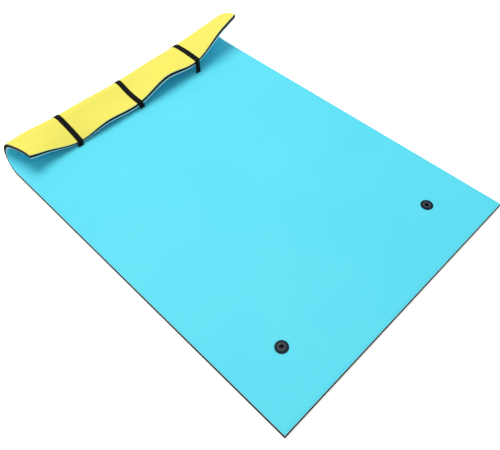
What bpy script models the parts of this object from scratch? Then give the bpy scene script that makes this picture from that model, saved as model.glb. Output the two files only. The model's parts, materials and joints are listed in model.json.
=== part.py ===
"""A foam swim float mat with its far end folded back into a pillow.

The mat is three bonded foam sheets: a blue deck, a black core and a yellow skin. Its far end is folded
back over the deck, yellow side out, and three straps wrap the fold and drop through slots in the deck.
Two grommets near the other end take a mooring line. Metres, +Z up, the deck facing up. The origin is on
the underside, halfway from the near edge to the slots, and +X runs towards the fold. Left is the +Y side.

The folded sheet bends on five hinge lines that lie just outside its yellow face, so each gap opens on
the blue side as the pillow unrolls. Two more, along slanted creases, let its raised corners lie down.
"""
import math

import bmesh
import bpy
import numpy as np
from mathutils import Vector

# The mat laid flat
MAT_WIDTH = 1.83
SLOTS_FROM_NEAR_EDGE = 2.183
SKIN_THICKNESS = 0.006
CORE_THICKNESS = 0.017
DECK_THICKNESS = 0.008
BOND_GAP = 0.0003
MAT_THICKNESS = SKIN_THICKNESS + CORE_THICKNESS + DECK_THICKNESS + 2 * BOND_GAP

# The pillow fold, by stations across the mat from its right edge to its left one. The sheet lies flat
# past the slots for the flap's own length and the tabs' lean, so the flap comes back over the slots.
FLAP_LENGTH = 0.19
TAB_LEAN = 0.03
BEND_LENGTH = 0.19
SIDE_SHIFT = 0.04
SHIFT_LEAD = 0.10
STATION_SHARES = (-1.0, -0.84, -0.56, -0.28, 0.0, 0.28, 0.56, 0.84, 1.0)
LIFT_SHARES = (0.911, 0.948, 0.965, 0.997, 1.001, 0.983, 0.94, 0.951, 0.92)
BEND_SHARES = (1.052, 1.039, 1.013, 0.935, 0.913, 1.003, 1.108, 1.15, 1.102)
BEND_TURNS = (139.1, 156.2, 181.0, 181.8, 196.5, 195.9, 197.8, 182.8, 173.2)
CURL_TURNS = (28.7, 11.8, 6.7, -13.7, -16.0, -12.1, 6.7, 9.4, 2.5)
SHIFT_SHARES = (1.55, 0.97, 0.31, 0.05, -0.4, -0.3, 0.32, 1.33, 2.4)
TIGHT_SHARE = 0.35

# The hinge lines, by how far round the fold they lie, and how far each one opens
HINGE_TURNS = (10.0, 58.0, 94.0, 130.0, 166.0)
HINGE_SWING = 32.0
HINGE_CLEARANCE = 0.001
HINGE_REACH_SHARE = 0.62
CUT_GAP = 0.0008
CREASE_START_SHARE = 0.985
CREASE_END_SHARE = 0.64
CREASE_GAP = 0.0016
CORNER_SWINGS = {"left": 10.0, "right": 30.0}

# The straps
STRAP_WIDTH = 0.038
STRAP_THICKNESS = 0.002
STRAP_SPACING = 0.51
STRAPS_OFF_MIDDLE = 0.011
STRAP_FLOOR_GAP = 0.0005
STRAP_CLEARANCE = 0.0006
STRAP_CUT_GAP = 0.002
SLOT_CLEARANCE = 0.001
EDGE_OVERHANG = 0.001
TAB_GAP = 0.0006

# The grommets
GROMMET_FROM_NEAR_EDGE = 0.300
GROMMET_FROM_SIDE_EDGE = 0.300
FLANGE_DIAMETER = 0.073
FLANGE_THICKNESS = 0.0025
EYELET_DIAMETER = 0.049
EYELET_THICKNESS = 0.0018
BARREL_DIAMETER = 0.031
GROMMET_BORE = 0.025
WASHER_DIAMETER = 0.060
WASHER_THICKNESS = 0.002
GROMMET_CLEARANCE = 0.0004
EDGE_ROUND = 0.0006

# Fineness of the meshes, and how far a cutter runs past what it cuts
SHEET_COLUMNS = 241
SHEET_ROWS = 661
BEND_COLUMNS = 26
BEND_ROWS = 3
FLAP_ROWS = 7
CORNER_COLUMNS = 6
STRAP_COLUMNS = 2
ROUND_STEPS = 40
OVERRUN = 0.01

NEAR_EDGE_X = -SLOTS_FROM_NEAR_EDGE / 2
SLOTS_X = SLOTS_FROM_NEAR_EDGE / 2
HALF_WIDTH = MAT_WIDTH / 2
LIFT_OFF = FLAP_LENGTH + TAB_LEAN
FREE_EDGE = LIFT_OFF + BEND_LENGTH + FLAP_LENGTH
STRAP_STACK = STRAP_CLEARANCE + STRAP_THICKNESS
SIDES = {"left": 1, "right": -1}
STRAPS = {
    "left": STRAP_SPACING - STRAPS_OFF_MIDDLE,
    "middle": -STRAPS_OFF_MIDDLE,
    "right": -STRAP_SPACING - STRAPS_OFF_MIDDLE,
}
LAYERS = {
    "yellow_skin": (0.0, SKIN_THICKNESS),
    "core": (SKIN_THICKNESS + BOND_GAP, SKIN_THICKNESS + BOND_GAP + CORE_THICKNESS),
    "blue_deck": (MAT_THICKNESS - DECK_THICKNESS, MAT_THICKNESS),
}


def material(name, colour, roughness):
    made = bpy.data.materials.new(name)
    made.use_nodes = True
    shader = made.node_tree.nodes["Principled BSDF"]
    shader.inputs["Base Color"].default_value = (*colour, 1.0)
    shader.inputs["Roughness"].default_value = roughness
    shader.inputs["Metallic"].default_value = 0.0
    made.diffuse_color = (*colour, 1.0)
    return made


def ease(share):
    share = np.clip(share, 0.0, 1.0)
    return share * share * (3 - 2 * share)


def station_curve(values, shares):
    """A smooth curve through one value at each station."""
    places, values = np.array(STATION_SHARES), np.array(values)
    slopes = np.gradient(values, places)
    left = np.clip(np.searchsorted(places, shares, side="right") - 1, 0, len(places) - 2)
    span = places[left + 1] - places[left]
    t = (shares - places[left]) / span
    near = (1 + 2 * t) * (1 - t) ** 2 * values[left] + t * (1 - t) ** 2 * span * slopes[left]
    far = t * t * (3 - 2 * t) * values[left + 1] + t * t * (t - 1) * span * slopes[left + 1]
    return near + far


def lay_sheet():
    """The middle of the sheet past the slots: x, y, z and heading, by rows along and columns across."""
    across = np.linspace(-1.0, 1.0, SHEET_COLUMNS)
    along = np.linspace(0.0, FREE_EDGE, SHEET_ROWS)[:, None]
    lift = LIFT_OFF * station_curve(LIFT_SHARES, across)
    bend = BEND_LENGTH * station_curve(BEND_SHARES, across)
    shift = -SIDE_SHIFT * station_curve(SHIFT_SHARES, across)
    round_share = np.clip((along - lift) / bend, 0.0, 1.0)
    ramp = round_share - TIGHT_SHARE * np.sin(2 * math.pi * round_share) / (2 * math.pi)
    past_bend = ease((along - lift - bend) / (FREE_EDGE - lift - bend))
    turn = ramp * station_curve(BEND_TURNS, across) + past_bend * station_curve(CURL_TURNS, across)
    heading = np.radians(turn)

    def travel(rate):
        steps = (rate[1:] + rate[:-1]) / 2 * along[1, 0]
        return np.vstack([np.zeros((1, SHEET_COLUMNS)), np.cumsum(steps, axis=0)])

    x = SLOTS_X + travel(np.cos(heading))
    start = lift - SHIFT_LEAD
    y = across * HALF_WIDTH + shift * ease((along - start) / (FREE_EDGE - start))
    z = MAT_THICKNESS / 2 + travel(np.sin(heading))
    return x, y, z, heading


SHEET = lay_sheet()


def on_sheet(share, reach, depth):
    """Points at a share of the half width, a reach past the slots and a depth under the yellow face."""
    share, reach, depth = np.broadcast_arrays(share, reach, depth)
    column = (share + 1) / 2 * (SHEET_COLUMNS - 1)
    row = np.clip(reach / FREE_EDGE, 0.0, 1.0) * (SHEET_ROWS - 1)
    c0 = np.clip(np.floor(column).astype(int), 0, SHEET_COLUMNS - 2)
    r0 = np.clip(np.floor(row).astype(int), 0, SHEET_ROWS - 2)
    across, along = column - c0, row - r0

    def read(table):
        first = table[r0, c0] * (1 - across) + table[r0, c0 + 1] * across
        second = table[r0 + 1, c0] * (1 - across) + table[r0 + 1, c0 + 1] * across
        return first * (1 - along) + second * along

    x, y, z, heading = (read(table) for table in SHEET)
    outward = MAT_THICKNESS / 2 - depth
    beyond = np.minimum(reach, 0.0) + np.maximum(reach - FREE_EDGE, 0.0)
    x = x + beyond * np.cos(heading) + outward * np.sin(heading)
    z = z + beyond * np.sin(heading) - outward * np.cos(heading)
    return np.stack([x, y, z], axis=-1)


def place_hinges():
    """Each hinge line as (x, z) of its axis and the outward direction of its cut."""
    middle = on_sheet(0.0, np.linspace(0.0, FREE_EDGE, SHEET_ROWS), 0.0)
    radius = middle[:, 2].max() / 2
    centre = np.array([middle[:, 0].max() - radius, radius])
    shares = np.linspace(-HINGE_REACH_SHARE, HINGE_REACH_SHARE, BEND_COLUMNS)
    reaches = np.linspace(0.0, FREE_EDGE, SHEET_ROWS)[:, None]
    outside = on_sheet(shares, reaches, -STRAP_STACK)[..., (0, 2)] - centre
    hinges = []
    for turn in HINGE_TURNS:
        angle = math.radians(turn)
        outward = np.array([math.sin(angle), -math.cos(angle)])
        onward = np.array([math.cos(angle), math.sin(angle)])
        near_cut = np.abs(outside @ onward) < SKIN_THICKNESS
        reach = np.where(near_cut, outside @ outward, 0.0).max() + HINGE_CLEARANCE
        if not hinges:
            reach = centre[1] / math.cos(angle)
        hinges.append((centre + outward * reach, outward, onward, centre))
    return hinges


HINGES = place_hinges()
SHARE_TABLE = np.linspace(-1.0, 1.0, SHEET_COLUMNS)


def cut_reaches(hinge, side, depth, gap):
    """How far past the slots each column meets a hinge's cut, before (-1) or after (+1) its gap."""
    axis, outward, onward, centre = HINGES[hinge]
    reaches = np.linspace(0.0, FREE_EDGE, SHEET_ROWS)
    points = on_sheet(SHARE_TABLE, reaches[:, None], depth)[..., (0, 2)]
    beyond = np.maximum((points - axis) @ outward, 0.0)
    half_notch = gap / 2 + beyond * math.tan(math.radians(HINGE_SWING / 2))
    past = (points - axis) @ onward - side * half_notch
    facing = (points - centre) @ outward > 0
    crossing = (past[:-1] < 0) & (past[1:] >= 0) & facing[:-1]
    first = crossing.argmax(axis=0)
    columns = np.arange(SHEET_COLUMNS)
    low, high = past[first, columns], past[first + 1, columns]
    return reaches[first] + (reaches[1] - reaches[0]) * -low / (high - low)


def column_shares():
    """Columns across the sheet, evenly spaced but for three along each strap: its edges and middle."""
    half = STRAP_WIDTH / 2 / HALF_WIDTH
    middles = np.array(list(STRAPS.values()))[:, None] / HALF_WIDTH
    even = np.linspace(-1.0, 1.0, BEND_COLUMNS + 1)
    clear = even[np.abs(even - middles).min(axis=0) > 2 * half]
    return np.sort(np.concatenate([clear, (middles + half * np.array([-1.0, 0.0, 1.0])).ravel()]))


def stretch_grid(shares, rows, depth, start, end, gap):
    """A grid of points on one face of a stretch of sheet, from one hinge's cut to the next one's."""
    rows = rows[:, None]
    if start is None:
        first = np.full(shares.shape, -SLOTS_FROM_NEAR_EDGE)
    else:
        first = np.interp(shares, SHARE_TABLE, cut_reaches(start, 1, depth, gap))
    if end is None:
        last = np.full(shares.shape, FREE_EDGE)
    else:
        last = np.interp(shares, SHARE_TABLE, cut_reaches(end, -1, depth, gap))
    return on_sheet(shares, first + (last - first) * rows, depth)


def finish(name, bm, body, look, smooth_angle=35.0):
    """Turns a bmesh in world places into a named object on its body's empty."""
    mesh = bpy.data.meshes.new(name)
    origin = BODIES[body].matrix_world.translation if body else Vector()
    bmesh.ops.translate(bm, verts=bm.verts, vec=-origin)
    bmesh.ops.recalc_face_normals(bm, faces=bm.faces)
    bm.to_mesh(mesh)
    bm.free()
    mesh.shade_smooth()
    mesh.set_sharp_from_angle(angle=math.radians(smooth_angle))
    piece = bpy.data.objects.new(name, mesh)
    bpy.context.collection.objects.link(piece)
    if look:
        mesh.materials.append(look)
    if body:
        piece.parent = BODIES[body]
    return piece


def sheet_solid(name, outer, inner, body, look):
    """A closed solid between two grids: the outer one is extruded, and its copy moved to the inner one."""
    rows, columns = outer.shape[:2]
    bm = bmesh.new()
    place = bm.verts.layers.int.new("place")
    grid = []
    for index, point in enumerate(outer.reshape(-1, 3)):
        vert = bm.verts.new(point)
        vert[place] = index
        grid.append(vert)
    for row in range(rows - 1):
        for column in range(columns - 1):
            corner = row * columns + column
            corners = (corner, corner + 1, corner + columns + 1, corner + columns)
            bm.faces.new([grid[k] for k in corners])
    made = bmesh.ops.extrude_face_region(bm, geom=list(bm.faces))["geom"]
    for vert in (item for item in made if isinstance(item, bmesh.types.BMVert)):
        vert.co = inner.reshape(-1, 3)[vert[place]]
    return finish(name, bm, body, look)


def turned_solid(name, profile, centre, body, look):
    """A ring turned about the vertical through centre, from (radius, height) corners."""
    bm = bmesh.new()
    verts = [bm.verts.new((centre[0] + radius, centre[1], height)) for radius, height in profile]
    edges = [bm.edges.new((verts[k - 1], verts[k])) for k in range(len(verts))]
    bmesh.ops.spin(bm, geom=verts + edges, cent=(*centre, 0.0), axis=(0.0, 0.0, 1.0),
                   angle=2 * math.pi, steps=ROUND_STEPS, use_merge=True)
    return finish(name, bm, body, look)


def cutter(name, add_shapes):
    """A hidden object that Boolean modifiers cut with."""
    bm = bmesh.new()
    add_shapes(bm)
    piece = finish(name, bm, None, None)
    piece.hide_render = True
    piece.display_type = "WIRE"
    return piece


def add_box(bm, low, high):
    corners = bmesh.ops.create_cube(bm, size=1.0)["verts"]
    bmesh.ops.scale(bm, verts=corners, vec=Vector(high) - Vector(low))
    bmesh.ops.translate(bm, verts=corners, vec=(Vector(high) + Vector(low)) / 2)


def add_round_plug(bm, centre, profile):
    """A capped stack of circles, from (radius, height) pairs."""
    rings = []
    for radius, height in profile:
        ring = bmesh.ops.create_circle(bm, segments=ROUND_STEPS, radius=radius)["verts"]
        bmesh.ops.translate(bm, verts=ring, vec=(*centre, height))
        rings.append(ring)
    for low, high in zip(rings, rings[1:]):
        for k in range(ROUND_STEPS):
            bm.faces.new((low[k - 1], low[k], high[k], high[k - 1]))
    bm.faces.new(rings[0])
    bm.faces.new(rings[-1])


def cut(piece, tool):
    modifier = piece.modifiers.new(tool.name, "BOOLEAN")
    modifier.operation = "DIFFERENCE"
    modifier.solver = "EXACT"
    modifier.object = tool


def add_body(name, place, parent):
    """An empty on a body's joint axis, carried by the body that it turns on."""
    empty = bpy.data.objects.new(name + "_pivot", None)
    bpy.context.collection.objects.link(empty)
    if parent:
        empty.parent = BODIES[parent]
        empty.location = Vector(place) - BODIES[parent].matrix_world.translation
    else:
        empty.location = place
    bpy.context.view_layer.update()
    BODIES[name] = empty


def grommet_places():
    x = NEAR_EDGE_X + GROMMET_FROM_NEAR_EDGE
    y = HALF_WIDTH - GROMMET_FROM_SIDE_EDGE
    return {side: (x, sign * y) for side, sign in SIDES.items()}


def crease_share(rows):
    return CREASE_START_SHARE + (CREASE_END_SHARE - CREASE_START_SHARE) * rows


def crease_axis(side):
    """A corner's hinge line, just under the blue face all along its crease, and its direction."""
    rows = np.linspace(0.0, 1.0, FLAP_ROWS + 1)
    shares = SIDES[side] * crease_share(rows)
    first = np.interp(shares, SHARE_TABLE, cut_reaches(len(HINGES) - 1, 1, MAT_THICKNESS, CUT_GAP))
    reaches = first + (FREE_EDGE - first) * rows
    line = on_sheet(shares, reaches, MAT_THICKNESS)
    inward = (line - on_sheet(shares, reaches, 0.0)).mean(axis=0)
    along = line[-1] - line[0]
    along /= np.linalg.norm(along)
    inward -= along * (inward @ along)
    inward /= np.linalg.norm(inward)
    drop = ((line - line[0]) @ inward).max() + HINGE_CLEARANCE
    corner = on_sheet(SIDES[side], FREE_EDGE, MAT_THICKNESS)
    start = line[0] + inward * drop
    if np.cross(along, corner - start) @ inward < 0:
        along = -along
    return start, along


def tab_hinge(side):
    """A strap tab's hinge line, over the free edge, and the directions onward and outward there."""
    reach = FREE_EDGE + EDGE_OVERHANG + TAB_GAP / 2
    first, *_, last = on_sheet(strap_shares(side), reach, -STRAP_STACK)
    return (first + last) / 2, (last - first) / np.linalg.norm(last - first)


def add_bodies():
    add_body("mat", (0.0, 0.0, 0.0), None)
    parent = "mat"
    for number, (axis, *_) in enumerate(HINGES, start=1):
        name = "flap" if number == len(HINGES) else f"fold_{number}"
        add_body(name, (axis[0], 0.0, axis[1]), parent)
        parent = name
    for side in SIDES:
        start, _ = crease_axis(side)
        add_body(side + "_corner", start, "flap")
    for side in STRAPS:
        start, _ = tab_hinge(side)
        add_body(side + "_tab", start, "flap")


def rows_to_bend(before, steps):
    """Shares of the way from a length before the slots to the first hinge: flat steps, then even ones."""
    last = cut_reaches(0, -1, 0.0, CUT_GAP).mean()
    flat = LIFT_OFF * min(LIFT_SHARES)
    reaches = np.concatenate([[-before, flat - SHIFT_LEAD], np.linspace(flat, last, steps + 1)])
    return (reaches + before) / (last + before)


def groove_cutter(side):
    """The room under the mat for one strap, from its slot to where the mat rises off the floor."""
    rows = rows_to_bend(0.0, FLAP_ROWS)
    _, ceiling = strap_grids(side, rows, None, 0, STRAP_WIDTH + SLOT_CLEARANCE)
    ceiling[..., 2] = STRAP_FLOOR_GAP + STRAP_THICKNESS + STRAP_CLEARANCE
    bottom = ceiling.copy()
    bottom[..., 2] = -OVERRUN
    groove = sheet_solid(f"groove_{side}", bottom, ceiling, None, None)
    groove.hide_render = True
    groove.display_type = "WIRE"
    return groove


def add_mat():
    """The flat sheets up to the first hinge line, with the grommets' holes and the straps' slots."""
    shares = column_shares()
    rows = rows_to_bend(SLOTS_FROM_NEAR_EDGE, BEND_ROWS + 1)
    seat, seat_top = WASHER_DIAMETER / 2 + GROMMET_CLEARANCE, STRAP_FLOOR_GAP + WASHER_THICKNESS + BOND_GAP
    hole, hole_top = BARREL_DIAMETER / 2 + GROMMET_CLEARANCE, MAT_THICKNESS + OVERRUN
    holes = cutter("grommet_holes", lambda bm: [
        add_round_plug(bm, place, [(seat, -OVERRUN), (seat, seat_top), (hole, seat_top), (hole, hole_top)])
        for place in grommet_places().values()])
    half_slot = STRAP_THICKNESS / 2 + SLOT_CLEARANCE
    half_width = STRAP_WIDTH / 2 + SLOT_CLEARANCE
    slots = cutter("strap_slots", lambda bm: [
        add_box(bm, (SLOTS_X - half_slot, y - half_width, -OVERRUN),
                (SLOTS_X + half_slot, y + half_width, MAT_THICKNESS + OVERRUN))
        for y in STRAPS.values()])
    grooves = [groove_cutter(side) for side in STRAPS]
    for layer, (outer, inner) in LAYERS.items():
        grids = [stretch_grid(shares, rows, depth, None, 0, CUT_GAP) for depth in (outer, inner)]
        piece = sheet_solid("mat_" + layer, *grids, "mat", LOOKS[layer])
        cut(piece, holes)
        cut(piece, slots)
        if layer == "yellow_skin":
            for tool in grooves:
                cut(piece, tool)


def add_fold():
    """The four stretches of sheet round the bend."""
    shares = column_shares()
    rows = np.linspace(0.0, 1.0, BEND_ROWS + 1)
    for number in range(1, len(HINGES)):
        for layer, depths in LAYERS.items():
            grids = [stretch_grid(shares, rows, depth, number - 1, number, CUT_GAP) for depth in depths]
            sheet_solid(f"fold_{number}_{layer}", *grids, f"fold_{number}", LOOKS[layer])


def add_flap():
    """The flap between the two slanted creases, and the corner outside each crease."""
    rows = np.linspace(0.0, 1.0, FLAP_ROWS + 1)
    last = len(HINGES) - 1
    edge = crease_share(rows)[:, None]
    gap = CREASE_GAP / 2 / HALF_WIDTH
    corner_across = np.linspace(0.0, 1.0, CORNER_COLUMNS + 1)
    middle = column_shares()
    middle = np.tile(middle[np.abs(middle) < HINGE_REACH_SHARE], (len(rows), 1))
    margin = HINGE_REACH_SHARE + (edge - gap - HINGE_REACH_SHARE) * corner_across
    flap_shares = np.hstack([-margin[:, ::-1], middle, margin])
    for layer, depths in LAYERS.items():
        grids = [stretch_grid(flap_shares, rows, depth, last, None, CUT_GAP) for depth in depths]
        sheet_solid("flap_" + layer, *grids, "flap", LOOKS[layer])
        for side, sign in SIDES.items():
            shares = sign * (edge + gap + (1.0 - edge - gap) * corner_across)
            grids = [stretch_grid(shares, rows, depth, last, None, CUT_GAP) for depth in depths]
            sheet_solid(f"{side}_corner_{layer}", *grids, side + "_corner", LOOKS[layer])


def strap_shares(side, width=STRAP_WIDTH):
    """Columns across one strap, as shares of the mat's half width."""
    half = width / 2 / HALF_WIDTH
    return STRAPS[side] / HALF_WIDTH + np.linspace(-half, half, STRAP_COLUMNS + 1)


def strap_grids(side, rows, start, end, width=STRAP_WIDTH):
    """The two faces of a strap's stretch, lying on the yellow face and never under the floor gap."""
    shares = strap_shares(side, width)
    face = cut_or_end(shares, start, end)
    reaches = face[0] + (face[1] - face[0]) * rows[:, None]
    inner = on_sheet(shares, reaches, -STRAP_CLEARANCE)
    outer = on_sheet(shares, reaches, -STRAP_STACK)
    raised = np.maximum(STRAP_FLOOR_GAP - outer[..., 2], 0.0)
    outer[..., 2] += raised
    inner[..., 2] = np.maximum(inner[..., 2], STRAP_FLOOR_GAP + STRAP_THICKNESS)
    return outer, inner


def cut_or_end(shares, start, end):
    """A strap stretch's first and last reach at each of its columns."""
    if start is None:
        first = np.full(shares.shape, -STRAP_THICKNESS / 2)
    else:
        first = np.interp(shares, SHARE_TABLE, cut_reaches(start, 1, -STRAP_STACK, STRAP_CUT_GAP))
    if end is None:
        last = np.full(shares.shape, FREE_EDGE + EDGE_OVERHANG)
    else:
        last = np.interp(shares, SHARE_TABLE, cut_reaches(end, -1, -STRAP_STACK, STRAP_CUT_GAP))
    return first, last


def add_strap(side):
    """One strap: anchored in its slot, under the mat, round the fold and over the flap."""
    look = LOOKS["strap"]
    y = STRAPS[side]
    outer, inner = strap_grids(side, rows_to_bend(0.0, FLAP_ROWS), None, 0)
    columns = np.linspace(-STRAP_WIDTH / 2, STRAP_WIDTH / 2, STRAP_COLUMNS + 1)

    def upright(x, z):
        return np.stack([np.full(columns.shape, x), y + columns, np.full(columns.shape, z)], axis=-1)

    face = SLOTS_X - STRAP_THICKNESS / 2
    back = SLOTS_X + STRAP_THICKNESS / 2
    outer = np.concatenate([[upright(face, MAT_THICKNESS)], [upright(face, STRAP_FLOOR_GAP)], outer[1:]])
    inner = np.concatenate([
        [upright(back, MAT_THICKNESS)], [upright(back, STRAP_FLOOR_GAP + STRAP_THICKNESS)], inner[1:]])
    sheet_solid(f"strap_{side}_anchor", outer, inner, "mat", look)
    for number in range(1, len(HINGES)):
        grids = strap_grids(side, np.linspace(0.0, 1.0, BEND_ROWS + 1), number - 1, number)
        sheet_solid(f"strap_{side}_bend_{number}", *grids, f"fold_{number}", look)
    grids = strap_grids(side, np.linspace(0.0, 1.0, FLAP_ROWS + 1), len(HINGES) - 1, None)
    sheet_solid(f"strap_{side}_flap", *grids, "flap", look)
    add_tab(side, upright, look)


def add_tab(side, upright, look):
    """The strap's end, from the free edge down to its slot."""
    shares = strap_shares(side)
    near = on_sheet(shares, FREE_EDGE + EDGE_OVERHANG + TAB_GAP, -STRAP_STACK)
    far = on_sheet(shares, FREE_EDGE + EDGE_OVERHANG + TAB_GAP + STRAP_THICKNESS, -STRAP_STACK)
    low_near = upright(SLOTS_X + STRAP_THICKNESS / 2, MAT_THICKNESS + BOND_GAP)
    low_far = upright(SLOTS_X - STRAP_THICKNESS / 2, MAT_THICKNESS + BOND_GAP)
    drop = np.linspace(0.0, 1.0, BEND_ROWS + 1)[:, None, None]
    inner = near + (low_near - near) * drop
    outer = far + (low_far - far) * drop
    sheet_solid(f"strap_{side}_tab", outer, inner, side + "_tab", look)


def add_grommet(side, place):
    """A flange on the deck, an eyelet through it and a washer let into the underside."""
    top = MAT_THICKNESS + BOND_GAP
    barrel = BARREL_DIAMETER / 2
    bore = GROMMET_BORE / 2
    flange = FLANGE_DIAMETER / 2
    inside = barrel + GROMMET_CLEARANCE
    turned_solid(f"grommet_{side}_flange", [
        (inside, top), (flange, top), (flange, top + FLANGE_THICKNESS - EDGE_ROUND),
        (flange - EDGE_ROUND, top + FLANGE_THICKNESS), (inside, top + FLANGE_THICKNESS),
    ], place, "mat", LOOKS["flange"])
    seat = top + FLANGE_THICKNESS + BOND_GAP
    head = EYELET_DIAMETER / 2
    turned_solid(f"grommet_{side}_eyelet", [
        (bore, STRAP_FLOOR_GAP), (barrel, STRAP_FLOOR_GAP), (barrel, seat), (head, seat),
        (head, seat + EYELET_THICKNESS - EDGE_ROUND), (head - EDGE_ROUND, seat + EYELET_THICKNESS),
        (bore + EDGE_ROUND, seat + EYELET_THICKNESS), (bore, seat + EYELET_THICKNESS - EDGE_ROUND),
    ], place, "mat", LOOKS["eyelet"])
    washer = WASHER_DIAMETER / 2
    turned_solid(f"grommet_{side}_washer", [
        (inside, STRAP_FLOOR_GAP), (washer - EDGE_ROUND, STRAP_FLOOR_GAP),
        (washer, STRAP_FLOOR_GAP + EDGE_ROUND), (washer, STRAP_FLOOR_GAP + WASHER_THICKNESS),
        (inside, STRAP_FLOOR_GAP + WASHER_THICKNESS),
    ], place, "mat", LOOKS["flange"])


def report_joints():
    """Prints each hinge line, for whoever sets up the motion."""
    for number, (axis, *_) in enumerate(HINGES, start=1):
        print(f"hinge {number}: pos {axis[0]:.6f} 0 {axis[1]:.6f} axis 0 1 0 range 0 {HINGE_SWING}")
    for side in SIDES:
        start, along = crease_axis(side)
        print(f"crease {side}:", *np.round(start, 6), "axis", *np.round(along, 6), CORNER_SWINGS[side])
    for side in STRAPS:
        start, along = tab_hinge(side)
        print(f"tab {side}:", *np.round(start, 6), "axis", *np.round(along, 6))


for leftover in list(bpy.data.objects):
    bpy.data.objects.remove(leftover, do_unlink=True)

BODIES = {}
LOOKS = {
    "yellow_skin": material("yellow_foam", (0.98, 0.87, 0.14), 0.6),
    "core": material("black_foam", (0.012, 0.012, 0.014), 0.8),
    "blue_deck": material("blue_foam", (0.13, 0.78, 0.95), 0.55),
    "strap": material("black_webbing", (0.01, 0.008, 0.01), 0.75),
    "flange": material("black_plastic", (0.01, 0.02, 0.03), 0.4),
    "eyelet": material("grey_plastic", (0.06, 0.07, 0.09), 0.45),
}

add_bodies()
add_mat()
add_fold()
add_flap()
for strap in STRAPS:
    add_strap(strap)
for grommet, spot in grommet_places().items():
    add_grommet(grommet, spot)
report_joints()
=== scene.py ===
# %% [markdown]
# # A foam float mat with its end folded into a pillow
# The object is a swim float mat: three foam sheets bonded flat on each other, a blue deck, a black
# core and a yellow skin. Its far end is folded back over the deck, so that the yellow side shows,
# and three webbing straps hold the fold down. The measured solids come in as a fixed frame, and
# this script dresses them: every solid gets a smooth, finely meshed piece with a real finish.

# %% Load the measured solids
import json
import math

import bmesh
import bpy
import numpy as np
from mathutils import Matrix, Vector


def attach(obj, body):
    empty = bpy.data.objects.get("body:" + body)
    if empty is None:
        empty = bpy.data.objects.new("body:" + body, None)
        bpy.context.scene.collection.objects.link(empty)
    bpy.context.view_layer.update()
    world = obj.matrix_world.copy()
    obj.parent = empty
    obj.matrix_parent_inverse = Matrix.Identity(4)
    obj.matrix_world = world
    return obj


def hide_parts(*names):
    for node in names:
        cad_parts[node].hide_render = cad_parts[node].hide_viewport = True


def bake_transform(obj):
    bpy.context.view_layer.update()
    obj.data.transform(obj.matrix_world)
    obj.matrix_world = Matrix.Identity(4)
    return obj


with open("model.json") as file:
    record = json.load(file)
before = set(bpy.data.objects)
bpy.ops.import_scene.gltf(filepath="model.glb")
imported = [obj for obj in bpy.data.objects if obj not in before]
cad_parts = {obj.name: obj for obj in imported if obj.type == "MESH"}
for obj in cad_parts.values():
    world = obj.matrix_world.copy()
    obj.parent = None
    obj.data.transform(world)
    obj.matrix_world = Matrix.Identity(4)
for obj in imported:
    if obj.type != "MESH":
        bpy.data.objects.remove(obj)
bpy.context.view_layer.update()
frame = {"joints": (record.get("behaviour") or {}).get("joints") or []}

# %% [markdown]
# ## The camera
# The photograph looks down on the mat from beyond its left near corner. The camera's place and its
# three directions were worked out from the four straight edges of the mat, which meet at right
# angles on the real thing, so two vanishing points fix the view and the lens.

# %% Camera
CAMERA_PLACE = (-1.5468, 1.4751, 2.5633)
VIEW_RIGHT = Vector((-0.706466, -0.707016, -0.031877))
VIEW_DOWN = Vector((-0.553241, 0.579858, -0.598097))
VIEW_AHEAD = Vector((0.441284, -0.405005, -0.800757))
LENS = 39.83
SENSOR = 36.0

camera_data = bpy.data.cameras.new("camera")
camera_data.lens = LENS
camera_data.sensor_width = SENSOR
camera = bpy.data.objects.new("camera", camera_data)
bpy.context.collection.objects.link(camera)
turn = Matrix((VIEW_RIGHT, -VIEW_DOWN, -VIEW_AHEAD)).transposed()
camera.matrix_world = Matrix.Translation(CAMERA_PLACE) @ turn.to_4x4()
bpy.context.scene.camera = camera
print("camera at", CAMERA_PLACE)

# %% [markdown]
# ## Light and floor
# The photograph is a studio cut-out: an even white ground and light so soft that only the space
# under the pillow goes dark. A pale world fills every side, and one very large lamp, high behind
# the pillow, lets the pillow shade the deck in front of it. Together they light a level surface at
# about one, so a colour renders as it is written. The floor is lifted to white, and still keeps the
# mat's own shadow. Under the mat lies a patch of the same floor without that lift, so the bores
# look into shade.

# %% Light and floor
WHITE = (1.0, 1.0, 1.0, 1.0)
WORLD_LEVEL = 0.46
LAMP_PLACE = (4.4, -0.9, 11.0)
LAMP_SIZE = 8.0
LAMP_WATTS = 900.0
FLOOR_SIZE = (40.0, 40.0)
FLOOR_COLOUR = (0.86, 0.86, 0.86)
FLOOR_ROUGHNESS = 0.9
FLOOR_LIFT = 0.6
SHADED_SIZE = (2.1, 1.76)
SHADED_LEVEL = 0.0001


def node(tree, kind, **values):
    """A shader node, with its inputs and settings given by name."""
    made = tree.nodes.new(kind)
    for name, value in values.items():
        if name in made.inputs:
            made.inputs[name].default_value = value
        else:
            setattr(made, name, value)
    return made


def new_look(name, **values):
    """A material, its tree and its shader, whose inputs are named with _ for each space."""
    look = bpy.data.materials.new(name)
    look.use_nodes = True
    shader = look.node_tree.nodes["Principled BSDF"]
    for key, value in values.items():
        shader.inputs[key.replace("_", " ")].default_value = value
    return look, look.node_tree, shader


def floor_sheet(name, size, level, look):
    """A level rectangle of the studio's floor."""
    bm = bmesh.new()
    bmesh.ops.create_grid(bm, x_segments=1, y_segments=1, size=0.5)
    bmesh.ops.scale(bm, verts=bm.verts, vec=(*size, 1.0))
    mesh = bpy.data.meshes.new(name)
    bm.to_mesh(mesh)
    bm.free()
    mesh.materials.append(look)
    sheet = bpy.data.objects.new(name, mesh)
    sheet.location.z = level
    bpy.context.collection.objects.link(sheet)
    return sheet


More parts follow.
